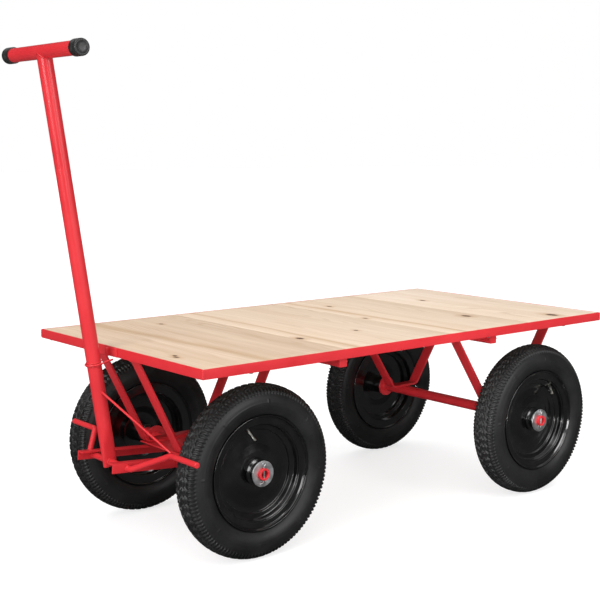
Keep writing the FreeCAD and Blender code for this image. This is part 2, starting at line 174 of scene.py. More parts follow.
def frames_along(line, up):
    """Unit tangent, side and top at each point; side is up crossed with the tangent."""
    steps = np.diff(line, axis=0)
    steps /= np.linalg.norm(steps, axis=1)[:, None]
    tangent = np.concatenate([steps[:1], steps[:-1] + steps[1:], steps[-1:]])
    tangent /= np.linalg.norm(tangent, axis=1)[:, None]
    side = np.cross(np.array(up, float), tangent)
    side /= np.linalg.norm(side, axis=1)[:, None]
    return tangent, side, np.cross(tangent, side)


def carried(line, section, up=(0, 0, 1)):
    """Rings: point = line + side times section x + top times section y.

    section is one outline [m, 2], or one per point of the line [k, m, 2].
    """
    tangent, side, top = frames_along(line, up)
    outline = np.broadcast_to(section, (len(line),) + np.shape(section)[-2:])
    return line[:, None] + outline[..., :1] * side[:, None] + outline[..., 1:] * top[:, None]


# %% [markdown]
# Sections: a circle, a rectangle with rounded corners, and any drawn outline with its corners
# rounded.  Ends are eased like filed steel: the last rings step in by a quarter circle.

# %% Sections and eased ends
def circle(radius, count=24):
    """x = r cos a, y = r sin a."""
    a = np.linspace(0, 2 * math.pi, count, endpoint=False)
    return radius * np.stack([np.cos(a), np.sin(a)], -1)


def rounded(width, height, radius, steps=5):
    """Rectangle whose corners are quarter circles; a point slides round each corner's centre."""
    a = np.linspace(0, math.pi / 2, steps)
    corner = np.stack([np.cos(a), np.sin(a)], -1) * radius
    half = np.array([width / 2 - radius, height / 2 - radius])
    turns = []
    for quarter, signs in enumerate(((1, 1), (-1, 1), (-1, -1), (1, -1))):
        c, s = math.cos(quarter * math.pi / 2), math.sin(quarter * math.pi / 2)
        turns.append(corner @ np.array([[c, s], [-s, c]]) + half * signs)
    return np.concatenate(turns)


def eased(line, section_at, ease=0.0008, up=(0, 0, 1)):
    """Carries section_at(inset) along the line, with both ends rounded by a quarter circle."""
    start = (line[1] - line[0]) / np.linalg.norm(line[1] - line[0])
    stop = (line[-1] - line[-2]) / np.linalg.norm(line[-1] - line[-2])
    a = np.linspace(0, math.pi / 2, 4)
    inset = ease * (1 - np.sin(a))
    ahead = ease * (1 - np.cos(a))
    first = line[0] + ahead[:, None] * start
    last = line[-1] - ahead[::-1, None] * stop
    whole = np.concatenate([first, line[1:-1], last])
    insets = np.concatenate([inset, np.zeros(len(line) - 2), inset[::-1]])
    outlines = np.stack([section_at(i) for i in insets])
    return loft(carried(whole, outlines, up))


def bar(line, width, height, radius, up=(0, 0, 1)):
    """Flat or square bar with softened long edges."""
    def outline(inset):
        return rounded(width - 2 * inset, height - 2 * inset, max(radius - inset, 0.0002))
    return eased(line, outline, min(0.0008, radius * 0.8), up)


def round_bar(line, radius, up=(0, 0, 1), count=20, ease=0.001):
    """Round bar, with filed ends."""
    return eased(np.array(line, float), lambda inset: circle(radius - inset, count), ease, up)


def outline_2d(corners, radius, steps=4):
    """Closed outline with every corner rounded, as [m, 2]."""
    closed = [tuple(corners[-1])] + [tuple(c) for c in corners] + [tuple(corners[0])]
    flat = np.array([(x, y, 0.0) for x, y in closed])
    return bent(flat, radius, steps)[1:-1, :2]


def turned(outline, centre, axis, count=96, closed=True):
    """Turns an (radius, along) outline about an axis: point = centre + axis*along + r*(spoke)."""
    axis = np.array(axis, float)
    axis /= np.linalg.norm(axis)
    aside = np.array([0.0, 0.0, 1.0]) if abs(axis[2]) < 0.9 else np.array([1.0, 0.0, 0.0])
    first = np.cross(aside, axis)
    first /= np.linalg.norm(first)
    second = np.cross(axis, first)
    a = np.linspace(0, 2 * math.pi, count, endpoint=False)[None, :, None]
    spoke = np.cos(a) * first + np.sin(a) * second
    outline = np.array(outline, float)
    rings = np.array(centre) + outline[:, 1, None, None] * axis + outline[:, 0, None, None] * spoke
    return loft(rings, caps=not closed, closed=closed)


# %% [markdown]
# A hand-laid weld is a row of small overlapping puddles.  The bead is a round bar whose radius
# swells and shrinks along its length, half sunk in the joint.

# %% Weld beads
def weld(line, radius=0.0026, pitch=0.0042):
    """Bead radius = r times (0.88 + 0.16 |sin|) along the line, thin at both ends."""
    path = divided(line, pitch / 5)
    along = np.arange(len(path)) / 5.0
    share = np.linspace(0, 1, len(path))
    swell = 0.88 + 0.16 * np.abs(np.sin(math.pi * along))
    taper = np.clip(np.minimum(share, 1 - share) * 14, 0.25, 1)
    size = radius * swell * np.sqrt(taper)
    tangent = path[-1] - path[0]
    up = (0, 0, 1) if abs(tangent[2]) < 0.7 * np.linalg.norm(tangent) else (0, 1, 0)
    return loft(carried(path, circle(1.0, 10) * size[:, None, None], up))


print("helpers ready")

# %% [markdown]
# ## Camera and light
#
# The viewer stands ahead of the cart on its left, at chest height, with a long lens, so that
# the deck reads as a shallow plane.

# %% Camera
EYE = Vector((1.75983, 2.11214, 0.84841))
LOOK = Vector((-0.6293, -0.7661, -0.1303))
LENS = 71.34
camera_data = bpy.data.cameras.new("camera")
camera_data.lens = LENS
camera_data.sensor_width = 36.0
camera = in_scene("camera", camera_data)
camera.location = EYE
camera.rotation_euler = LOOK.to_track_quat("-Z", "Y").to_euler()
bpy.context.scene.camera = camera
print("camera lens", LENS, "mm")

# %% [markdown]
# Large soft sources suit smooth paint, because their reflections are broad.  Two far lights
# cover the whole floor, a box in front lights the handle and the rim, and two at the side light
# the wheels' dishes.  A small low lamp reaches the rear axle, which the deck shades.

# %% Soft boxes and low lamp
def aimed(name, data, direction, place=(0, 0, 0)):
    """Puts a light in its place, looking along a direction."""
    lamp = in_scene(name, data)
    lamp.location = place
    lamp.rotation_euler = Vector(direction).to_track_quat("-Z", "Y").to_euler()


def far_box(name, direction, strength, spread):
    """A soft light so far away that it falls evenly on the whole floor."""
    data = bpy.data.lights.new(name, "SUN")
    data.energy = strength
    data.angle = math.radians(spread)
    aimed(name, data, direction)


def soft_box(name, place, target, size, power):
    """A square area light that looks at a target."""
    data = bpy.data.lights.new(name, "AREA")
    data.size = size
    data.energy = power
    aimed(name, data, Vector(target) - Vector(place), place)


def low_lamp(name, place, target, cone, power):
    """A spot whose edge fades over most of its cone."""
    data = bpy.data.lights.new(name, "SPOT")
    data.energy = power
    data.spot_size = math.radians(cone)
    data.spot_blend = 0.6
    data.shadow_soft_size = 0.15
    aimed(name, data, Vector(target) - Vector(place), place)


MIDDLE = (0.0, 0.0, 0.25)
far_box("key_far", (-0.75, -0.62, -0.85), 1.55, 50)
far_box("top_far", (0.05, 0.1, -1.0), 2.0, 90)
soft_box("front_box", (3.0, 0.9, 0.95), MIDDLE, 1.1, 42)
soft_box("low_box", (1.1, 3.2, 0.55), MIDDLE, 0.9, 14)
low_lamp("under_lamp", (1.5, 1.9, 0.30), (AXLE_X["rear"], 0, WHEEL_R), 14, 110)
soft_box("side_box", (-0.6, 3.0, 1.3), MIDDLE, 1.2, 34)
print(len(bpy.data.lights), "lights")

# %% [markdown]
# The sky looks white to the camera, but throws less light than that, and is darker still in
# reflections, as the unlit part of a studio is.  That keeps black enamel black.

# %% Sky and floor
SKY_LIGHT = 0.28
SKY_IN_GLOSS = 0.06
FLOOR_HALF = 30.0
FLOOR_Z = -0.0005
world = bpy.data.worlds.new("studio")
world.use_nodes = True
sky = world.node_tree
sky.nodes["Background"].inputs["Color"].default_value = (1, 1, 1, 1)
rays = sky.nodes.new("ShaderNodeLightPath")
brightness = sky.nodes.new("ShaderNodeMapRange")
brightness.inputs["To Min"].default_value = SKY_LIGHT
brightness.inputs["To Max"].default_value = 1.0
sky.links.new(rays.outputs["Is Camera Ray"], brightness.inputs["Value"])
dimmed = sky.nodes.new("ShaderNodeMath")
dimmed.operation = "MULTIPLY_ADD"
dimmed.inputs[1].default_value = SKY_IN_GLOSS - SKY_LIGHT
sky.links.new(rays.outputs["Is Glossy Ray"], dimmed.inputs[0])
sky.links.new(brightness.outputs[0], dimmed.inputs[2])
sky.links.new(dimmed.outputs[0], sky.nodes["Background"].inputs["Strength"])
bpy.context.scene.world = world
bpy.context.scene.view_settings.view_transform = "Standard"
floor_mesh = bpy.data.meshes.new("floor")
floor_corners = [(x * FLOOR_HALF, y * FLOOR_HALF, FLOOR_Z) for x, y in ((-1, -1), (1, -1), (1, 1), (-1, 1))]
floor_mesh.from_pydata(floor_corners, [], [(0, 1, 2, 3)])
floor = in_scene("floor", floor_mesh)
print("floor", 2 * FLOOR_HALF, "m wide")

# %% [markdown]
# ## Finishes
#
# Every finish is worked out from the piece's own place in space, so it needs no unwrapping and
# no pictures.  `node` adds a node, sets it, and fills or links its inputs in one line.

# %% Small node helpers
def node(tree, kind, inputs=None, **settings):
    """A shader node with its settings and its inputs filled or linked."""
    made = tree.nodes.new(kind)
    for key, value in settings.items():
        setattr(made, key, value)
    for key, value in (inputs or {}).items():
        if isinstance(value, bpy.types.NodeSocket):
            tree.links.new(value, made.inputs[key])
        else:
            made.inputs[key].default_value = value
    return made


def noise(tree, place, scale, detail=3.0, stretch=None, rough=0.5, warp=0.0):
    """Cloudy noise, from 0 to 1, optionally stretched along x, y and z."""
    if stretch:
        place = node(tree, "ShaderNodeMapping", {"Vector": place, "Scale": stretch}).outputs[0]
    fill = {"Vector": place, "Scale": scale, "Detail": detail, "Roughness": rough, "Distortion": warp}
    return node(tree, "ShaderNodeTexNoise", fill).outputs["Fac"]


def ramp(tree, value, low, high, start=0.0, end=1.0):
    """Maps value from low..high to start..end, and stops there."""
    fill = {"Value": value, "From Min": low, "From Max": high, "To Min": start, "To Max": end}
    return node(tree, "ShaderNodeMapRange", fill).outputs[0]


def mixed(tree, share, first, second, how="MIX"):
    """Mixes two colours by a share."""
    fill = {0: share, 6: first, 7: second}
    return node(tree, "ShaderNodeMix", fill, data_type="RGBA", blend_type=how).outputs[2]


def sums(tree, operation, first, second=0.0):
    """One step of arithmetic."""
    return node(tree, "ShaderNodeMath", {0: first, 1: second}, operation=operation).outputs[0]


def new_finish(name, metallic=0.0, **fixed):
    """An empty finish: returns the material, its tree, its shader and the place on the object."""
    material = bpy.data.materials.new(name)
    material.use_nodes = True
    tree = material.node_tree
    shader = tree.nodes["Principled BSDF"]
    shader.inputs["Metallic"].default_value = metallic
    for key, value in fixed.items():
        shader.inputs[key.replace("_", " ")].default_value = value
    place = node(tree, "ShaderNodeTexCoord").outputs["Object"]
    return material, tree, shader, place


def coloured(tree, shader, tone, roughness):
    """Links a pattern to the colour and another to the roughness."""
    tree.links.new(tone, shader.inputs["Base Color"])
    tree.links.new(roughness, shader.inputs["Roughness"])


def relief(tree, shader, height, strength, distance):
    """Bump of that real height, in metres."""
    fill = {"Height": height, "Strength": strength, "Distance": distance}
    tree.links.new(node(tree, "ShaderNodeBump", fill).outputs[0], shader.inputs["Normal"])


def times(tree, first, second):
    """One product."""
    return sums(tree, "MULTIPLY", first, second)


# %% [markdown]
# Powder coat is sprayed dry and melted, so it has a fine orange peel, a soft gloss, and is a
# little thinner and darker here and there.  Rim enamel is dipped: smoother, blacker, glossier.

# %% Powder coat and enamel
def powder_coat():
    finish, tree, shader, place = new_finish(
        "red_powder_coat", Coat_Weight=0.10, Coat_Roughness=0.15, Specular_IOR_Level=0.28
    )
    patches = noise(tree, place, 9.0, 4.0)
    tone = mixed(tree, ramp(tree, patches, 0.3, 0.7), (0.54, 0.021, 0.028, 1), (0.60, 0.029, 0.036, 1))
    specks = ramp(tree, noise(tree, place, 420.0, 2.0), 0.66, 0.78)
    tone = mixed(tree, times(tree, specks, 0.25), tone, (0.42, 0.008, 0.015, 1))
    coloured(tree, shader, tone, ramp(tree, patches, 0.25, 0.75, 0.27, 0.38))
    relief(tree, shader, noise(tree, place, 700.0, 2.0), 0.16, 0.0004)
    return finish


def rim_enamel():
    finish, tree, shader, place = new_finish(
        "black_rim_enamel", Coat_Weight=0.8, Coat_Roughness=0.10, Specular_IOR_Level=0.5
    )
    dust = ramp(tree, noise(tree, place, 26.0, 6.0, rough=0.65), 0.45, 0.8)
    tone = mixed(tree, dust, (0.0020, 0.0020, 0.0022, 1), (0.0075, 0.0073, 0.0070, 1))
    coloured(tree, shader, tone, ramp(tree, dust, 0.0, 1.0, 0.15, 0.30))
    ripple = times(tree, noise(tree, place, 32.0), 2.0)
    peel = sums(tree, "ADD", noise(tree, place, 260.0, 2.0), ripple)
    relief(tree, shader, peel, 0.10, 0.0006)
    return finish


# %% [markdown]
# Tyre rubber is dull and carbon black, greyer where dust and mould wax lie.  The grips' rubber
# is smoother and a bit shinier.

# %% Rubber
def tyre_rubber():
    finish, tree, shader, place = new_finish("tyre_rubber_black", Specular_IOR_Level=0.30)
    bloom = ramp(tree, noise(tree, place, 14.0, 8.0, rough=0.6), 0.35, 0.75)
    grit = ramp(tree, noise(tree, place, 520.0, 2.0), 0.5, 0.75)
    tone = mixed(tree, bloom, (0.0085, 0.0086, 0.0088, 1), (0.0190, 0.0190, 0.0193, 1))
    tone = mixed(tree, times(tree, grit, 0.35), tone, (0.022, 0.022, 0.022, 1))
    coloured(tree, shader, tone, ramp(tree, bloom, 0.0, 1.0, 0.38, 0.52))
    relief(tree, shader, noise(tree, place, 340.0, 4.0), 0.22, 0.0006)
    return finish


def grip_rubber():
    finish, tree, shader, place = new_finish("grip_rubber_black", Specular_IOR_Level=0.5)
    worn = ramp(tree, noise(tree, place, 60.0, 6.0), 0.35, 0.7)
    tone = mixed(tree, worn, (0.010, 0.010, 0.010, 1), (0.024, 0.024, 0.024, 1))
    coloured(tree, shader, tone, ramp(tree, worn, 0.0, 1.0, 0.34, 0.52))
    relief(tree, shader, noise(tree, place, 900.0, 3.0), 0.25, 0.0003)
    return finish


# %% [markdown]
# Zinc plate is a soft grey metal with cloudy straw patches left by the passivating bath.

# %% Bright metals
def zinc_plate(name, light, dark, roughest):
    finish, tree, shader, place = new_finish(name, metallic=1.0)
    cloud = noise(tree, place, 70.0, 5.0)
    tone = mixed(tree, ramp(tree, cloud, 0.3, 0.7), dark, light)
    straw = ramp(tree, noise(tree, place, 31.0, 3.0), 0.52, 0.75, 0.0, 0.35)
    tone = mixed(tree, straw, tone, (0.38, 0.34, 0.26, 1))
    coloured(tree, shader, tone, ramp(tree, cloud, 0.2, 0.8, 0.28, roughest))
    relief(tree, shader, noise(tree, place, 600.0, 3.0), 0.2, 0.0003)
    return finish


RED = powder_coat()
ENAMEL = rim_enamel()
RUBBER = tyre_rubber()
GRIP_RUBBER = grip_rubber()
ZINC = zinc_plate("zinc_plate", (0.78, 0.79, 0.80, 1), (0.55, 0.56, 0.57, 1), 0.60)
NICKEL = zinc_plate("valve_nickel", (0.26, 0.25, 0.23, 1), (0.13, 0.13, 0.12, 1), 0.45)
print(len(bpy.data.materials), "finishes so far")

# %% [markdown]
# ## Wheels
#
# A tyre is one closed shell: a bulged carcass swept round the axle, thick as the real rubber,
# with the tread raised on it as a height field.  Two parameters place every point: the angle
# round the wheel and the distance across the section.  The tread is many narrow lugs on each
# shoulder and smaller staggered blocks in five rows across the crown.

# %% Tyre section and tread
LUGS = 128
TYRE_HALF = 0.035
TYRE_BASE_R = 0.140
CROWN = 0.0394


def smooth(value, low, high):
    """0 below low, 1 above high, and an S-curve between."""
    t = np.clip((value - low) / (high - low), 0, 1)
    return t * t * (3 - 2 * t)


def tyre_section():
    """Outer wall from bead to bead: wide = W sign(c)|c|^0.82, high = H|s|^0.86, as t goes 0..pi."""
    t = np.concatenate([
        np.linspace(0, 0.27, 24, endpoint=False),
        np.linspace(0.27, 0.73, 40, endpoint=False),
        np.linspace(0.73, 1.0, 25),
    ]) * math.pi
    c, s = np.cos(t), np.sin(t)
    wide = TYRE_HALF * np.sign(c) * np.abs(c) ** 0.82
    high = CROWN * np.abs(s) ** 0.86
    return np.stack([TYRE_BASE_R + high, wide], -1)


def tread_height(a, across):
    """Raised share, 0..1, at wheel angle a and section position across (-1..1, 0 = crown)."""
    side = np.abs(across)
    sign = np.sign(across)
    phase = a * LUGS / (2 * math.pi)
    shoulder = 0.5 + 0.5 * np.cos(2 * math.pi * (phase + 0.25 * sign + 0.6 * side))
    shoulder = smooth(shoulder, 0.26, 0.60) * smooth(side, 0.50, 0.56) * (1 - smooth(side, 0.86, 1.0))
    rows = [(0.0, 0.12, 0.5, 0.0), (0.20, 0.10, 0.5, 0.5), (0.40, 0.09, 0.5, 0.1)]
    blocks = np.zeros(np.broadcast(a, across).shape)
    for middle, half, rate, shift in rows:
        band = 1 - smooth(np.abs(side - middle), half * 0.72, half)
        slant = 2.6 * across
        wave = 0.5 + 0.5 * np.cos(2 * math.pi * (phase * rate + shift + slant + 0.5 * (sign < 0)))
        blocks = np.maximum(blocks, band * smooth(wave, 0.16, 0.42))
    return np.maximum(shoulder, blocks)


# %% [markdown]
# The sidewall carries what a mould leaves: two fine rings near the bead and a few short radial
# bars.  The lining inside closes the shell.

# %% One tyre
TREAD_DEPTH = 0.0031
TREAD_SHARE = 0.62
TICKS = 8


def tyre(name, x, y, side):
    """point = axle + spoke(a) * (R + height * normal) + y * (across + height * normal)."""
    section = tyre_section()
    count = LUGS * 5
    a = np.linspace(0, 2 * math.pi, count, endpoint=False)[:, None]
    t = np.degrees(np.arctan2(section[:, 0] - TYRE_BASE_R, section[:, 1] * CROWN / TYRE_HALF))
    across = (t / 90.0 - 1.0) / TREAD_SHARE
    outside = np.abs(across) > 1.0
    height = np.where(outside[None], 0.0, TREAD_DEPTH * tread_height(a, np.clip(across, -1, 1)[None]))
    low = section[:, 0]
    rings = 0.0006 * np.exp(-((low - 0.1475) / 0.0011) ** 2)
    rings += 0.0005 * np.exp(-((low - 0.1435) / 0.0008) ** 2)
    tick = np.clip(np.cos(TICKS * a + 0.7), 0.99, 1.0) - 0.99
    reach = smooth(low, 0.1445, 0.1465) * (1 - smooth(low, 0.153, 0.155))
    ticks = 0.0009 * smooth(tick, 0.004, 0.008) * reach
    height = height + (rings + ticks) * outside
    along = np.gradient(section, axis=0)
    normal = np.stack([-along[:, 1], along[:, 0]], -1)
    normal /= np.linalg.norm(normal, axis=1)[:, None]
    outer = section[None] + height[..., None] * normal[None]
    bead = np.array([(0.1245, -0.029), (0.1222, -0.0262), (0.1206, -0.0224), (0.1028, -0.0224),
                     (0.1028, -0.0145), (0.118, -0.0155), (0.126, -0.024)])
    lining_t = np.linspace(1, 0, 9) * math.pi
    c, s = np.cos(lining_t), np.sin(lining_t)
    lining = np.stack([TYRE_BASE_R + 0.031 * np.abs(s) ** 0.86, 0.028 * np.sign(c) * np.abs(c) ** 0.82], -1)
    inner = np.concatenate([bead, lining, bead[::-1] * (1, -1)])
    whole = np.concatenate([outer, np.broadcast_to(inner, (count,) + inner.shape)], axis=1)
    r, w = whole[..., 0], whole[..., 1]
    points = np.stack([x + r * np.sin(a), y + side * w, WHEEL_R + r * np.cos(a)], -1)
    skin = loft(points, caps=False, closed=True)
    piece = make("pneumatic_" + name, [skin], RUBBER, "wheel_" + name, ["tyre_" + name],
                 math.radians(50))
    return len(piece.data.polygons)


for wheel_name, (x, y, side) in WHEELS.items():
    faces = tyre(wheel_name, x, y, side)
print("tyre:", faces, "faces")

# %% [markdown]
# The rim is pressed from sheet: a rolled lip, a bead ledge, a drum wall, a second step and a
# shallow cone that rises to the hub.  It is one outline with rounded corners, turned once.

# %% Rims and hubs
RIM_OUTLINE = np.array([
    (97.5, -25.3, 1.2), (117.5, -25.3, 1.0), (117.5, -28.3, 0.9), (120.5, -28.3, 0.9), (120.5, -22.8, 1.0),
    (102.5, -22.8, 1.5), (102.5, -10.0, 1.5), (90.0, -7.0, 1.5), (90.0, 7.0, 1.5), (102.5, 10.0, 1.5),
    (102.5, 22.8, 1.5), (119.4, 22.8, 1.0), (121.2, 26.2, 1.2), (120.4, 29.1, 1.0), (118.2, 29.0, 1.0),
    (116.6, 24.6, 2.2), (109.5, 20.4, 3.5), (99.8, 20.0, 2.6), (98.4, 9.8, 2.4), (88.2, 7.8, 1.6),
    (86.8, 3.8, 1.5), (76.0, 3.0, 6.0), (58.0, 5.2, 8.0), (42.0, 8.6, 8.0), (22.1, 9.0, 0.5),
    (22.1, 6.0, 0.5), (45.0, 5.8, 4.0), (60.0, 2.0, 4.0), (86.8, 0.8, 0.8), (87.2, -8.0, 1.5),
    (97.5, -11.0, 1.5),
]) * 0.001
HUB_OUTLINE = [
    (0.01256, -0.024), (0.0185, -0.024), (0.0220, -0.021), (0.0220, 0.0092), (0.0280, 0.0092),
    (0.0280, 0.0130), (0.0220, 0.0150), (0.0220, 0.0190), (0.0240, 0.0190), (0.0240, 0.0245),
    (0.0225, 0.0260), (0.01256, 0.0260),
]


def wheel_ring(centre, radius, count):
    """Points round a line across the cart: centre + r (sin a, 0, cos a)."""
    a = np.linspace(0, 2 * math.pi, count)
    return np.array(centre) + radius * np.stack([np.sin(a), 0 * a, np.cos(a)], -1)


for wheel_name, (x, y, side) in WHEELS.items():
    centre = (x, y, WHEEL_R)
    outward = (0, side, 0)
    body = "wheel_" + wheel_name
    rim = turned(outline_2d(RIM_OUTLINE[:, :2], RIM_OUTLINE[:, 2], 5), centre, outward, 144)
    make("pressed_rim_" + wheel_name, [rim], ENAMEL, body,
         ["rim_" + wheel_name, "rim_disc_" + wheel_name])
    hub = turned(outline_2d(HUB_OUTLINE, 0.0007, 3), centre, outward, 64)
    ring = weld(wheel_ring((x, y + side * 0.0093, WHEEL_R), 0.0223, 60), 0.0016)
    make("bearing_hub_" + wheel_name, [hub, ring], ENAMEL, body, ["hub_" + wheel_name])
print("rims and hubs turned")

# %% [markdown]
# The valve comes through the drum at a slant.  It is one turned outline: foot, stem and cap.

# %% Valves
VALVE_TURN = {"front_left": 15.0, "front_right": 100.0, "rear_left": -38.0, "rear_right": -12.0}
VALVE_ENDS = [(0.098, 0.008), (0.074, 0.031)]
VALVE_OUTLINE = [
    (0.0001, 0.0), (0.0040, 0.0), (0.0040, 0.005), (0.0031, 0.009), (0.0031, 0.0205),
    (0.0026, 0.0213), (0.0026, 0.0232), (0.0036, 0.0236), (0.0036, 0.0320), (0.0028, 0.0332),
    (0.0001, 0.0332),
]
for wheel_name, (x, y, side) in WHEELS.items():
    t = math.radians(VALVE_TURN[wheel_name])
    root, tip = (np.array([x + r * math.sin(t), y + side * out, WHEEL_R + r * math.cos(t)])
                 for r, out in VALVE_ENDS)
    stem = turned(VALVE_OUTLINE, root, tip - root, 20)
    make("valve_stem_" + wheel_name, [stem], NICKEL, "wheel_" + wheel_name, ["valve_" + wheel_name])
print("valves set")

# %% [markdown]
# ## Deck
#
# The boards are pine plywood.  Rotary cutting gives long flame-shaped grain, here running
# across the cart, with darker late wood, a few knots that bend the grain round them, and a
# brown band in three of the boards.  The pattern is a stretched, warped noise turned into thin lines; each knot pulls
# the coordinate it is drawn on.  Every board gets its own shift and tone, as cut from
# another sheet.

# %% Pine plywood
KNOTS = [(0.232, 0.156, 0.0085), (-0.296, 0.152, 0.0100), (-0.472, 0.272, 0.0120),
         (0.564, 0.176, 0.0060), (0.556, 0.160, 0.0045), (0.064, 0.150, 0.0050), (-0.080, 0.024, 0.0055),
         (-0.150, -0.190, 0.0060), (0.350, -0.210, 0.0050), (-0.420, -0.120, 0.0065)]


def knot_distance(tree, x, y, knot):
    """Distance to a knot's middle in knot radii, squashed along the grain."""
    across = sums(tree, "DIVIDE", sums(tree, "SUBTRACT", x, knot[0] + DECK_MIDDLE), knot[2])
    along = sums(tree, "DIVIDE", sums(tree, "SUBTRACT", y, knot[1]), knot[2] * 1.7)
    squares = sums(tree, "ADD", sums(tree, "POWER", across, 2.0), sums(tree, "POWER", along, 2.0))
    return across, sums(tree, "SQRT", squares)


def pine(name, shift, light, dark, band, knots):
    """One board's finish: lines = sin(620 (x + knots' pull + 0.16 flow)), with knots and a band."""
    finish, tree, shader, place = new_finish(name, Specular_IOR_Level=0.3)
    split = node(tree, "ShaderNodeSeparateXYZ", {"Vector": place})
    x, y = split.outputs["X"], split.outputs["Y"]
    pulled = x
    core = ring = 0.0
    for knot in knots:
        away, distance = knot_distance(tree, x, y, knot)
        pull = sums(tree, "EXPONENT", times(tree, sums(tree, "POWER", distance, 2.0), -0.10))
        bow = times(tree, times(tree, away, pull), -0.45 * knot[2])
        pulled = sums(tree, "ADD", pulled, bow)
        rough_edge = sums(tree, "ADD", distance, ramp(tree, noise(tree, place, 160.0), 0, 1, -0.35, 0.35))
        middle = ramp(tree, rough_edge, 0.55, 1.05, 1.0, 0.0)
        halo = ramp(tree, rough_edge, 1.0, 2.6, 1.0, 0.0)
        core = sums(tree, "MAXIMUM", middle, core)
        ring = sums(tree, "MAXIMUM", halo, ring)
    grain_place = node(tree, "ShaderNodeCombineXYZ", {"X": pulled, "Y": y, "Z": shift}).outputs[0]
    flow = noise(tree, grain_place, 1.0, 2.0, (9.0, 1.3, 1.0), 0.5)
    wide = noise(tree, grain_place, 1.0, 4.0, (26.0, 1.1, 1.0), 0.55, 0.6)
    phase = times(tree, sums(tree, "ADD", pulled, times(tree, flow, 0.16)), 620.0)
    lines = ramp(tree, sums(tree, "SINE", phase), 0.1, 1.0)
    fibre = noise(tree, grain_place, 1.0, 5.0, (520.0, 9.0, 1.0), 0.6)
    tone = mixed(tree, ramp(tree, wide, 0.32, 0.70), light, dark)
    late = times(tree, lines, ramp(tree, flow, 0.40, 0.68, 0.10, 0.55))
    tone = mixed(tree, late, tone, (0.47, 0.325, 0.205, 1))
    tone = mixed(tree, ramp(tree, fibre, 0.48, 0.80, 0.0, 0.42), tone, (0.44, 0.30, 0.19, 1))
    if band:
        slant = sums(tree, "ADD", x, times(tree, y, band[1]))
        wavy = sums(tree, "ADD", slant, times(tree, noise(tree, place, 5.0), 0.03))
        off = sums(tree, "DIVIDE", sums(tree, "SUBTRACT", wavy, band[0] + DECK_MIDDLE), band[2])
        mark = sums(tree, "EXPONENT", times(tree, sums(tree, "POWER", off, 2.0), -1.0))
        mark = times(tree, mark, ramp(tree, fibre, 0.25, 0.7, 0.55, 1.0))
        tone = mixed(tree, times(tree, mark, 0.62), tone, (0.40, 0.235, 0.11, 1))
    tone = mixed(tree, times(tree, ring, 0.45), tone, (0.42, 0.24, 0.11, 1))
    tone = mixed(tree, core, tone, (0.075, 0.038, 0.020, 1))
    coloured(tree, shader, tone, ramp(tree, fibre, 0.2, 0.8, 0.58, 0.80))
    height = sums(tree, "ADD", fibre, times(tree, lines, -0.35))
    relief(tree, shader, height, 0.35, 0.0006)
    return finish


LIGHT_PINE = (0.72, 0.585, 0.46, 1)
WARM_PINE = (0.62, 0.475, 0.345, 1)
PLY = [
    pine("pine_ply_1", 0.0, (0.66, 0.52, 0.395, 1), (0.55, 0.405, 0.285, 1), (0.470, 0.06, 0.017),
         [KNOTS[3], KNOTS[4], KNOTS[8]]),
    pine("pine_ply_2", 3.1, LIGHT_PINE, WARM_PINE, (0.215, -0.02, 0.007), [KNOTS[0], KNOTS[5]]),
    pine("pine_ply_3", 7.4, (0.74, 0.61, 0.49, 1), WARM_PINE, (-0.095, 0.02, 0.008),
         [KNOTS[1], KNOTS[6], KNOTS[7]]),
    pine("pine_ply_4", 12.9, (0.76, 0.64, 0.53, 1), (0.67, 0.53, 0.405, 1), None, [KNOTS[2], KNOTS[9]]),
]
print(len(PLY), "board finishes")

# %% [markdown]
# Each board is a slab with eased edges whose face rises and falls a fifth of a millimetre,
# as sanded plywood does.

# %% Deck boards
BOARD_T = 0.016
BOARD_END = 0.5965
JOINT_GAP = 0.0005


def board(number, x0, x1):
    """Section (x, z) with eased corners carried along y; height gains 0.2 mm of slow waves."""
    middle = (x0 + x1) / 2
    half_y = DECK_HALF[1] - 0.004
    z = DECK_TOP - BOARD_T / 2
    line = divided([(middle, -half_y, z), (middle, half_y, z)], 0.02)
    points, faces = bar(line, x1 - x0, BOARD_T, 0.0010)
    lift = 0.0002 * np.sin(points[:, 0] * 41 + number) * np.sin(points[:, 1] * 23 + 2 * number)
    points[:, 2] += np.where(points[:, 2] > DECK_TOP - 0.002, lift, 0)
    make("plywood_%d" % number, [(points, faces)], PLY[number - 1], "chassis",
         ["deck_board_%d" % number])


stops = [BOARD_END] + SEAMS + [-BOARD_END]
for number, (front, rear) in enumerate(zip(stops, stops[1:]), 1):
    board(number, rear + DECK_MIDDLE + JOINT_GAP, front + DECK_MIDDLE - JOINT_GAP)
print(len(stops) - 1, "boards")

# %% [markdown]
# The rim is rolled angle, mitred and welded at the corners.  An L outline with a root fillet and
# rounded toes runs along each side, and its points start and stop at 45 degrees, so the sides
# meet in mitres.  A ground weld stands at each corner outside.

# %% Rim of angle
def red_steel(name, skins, body, *replaced):
    """A painted steel piece."""
    make(name, skins, RED, body, replaced)


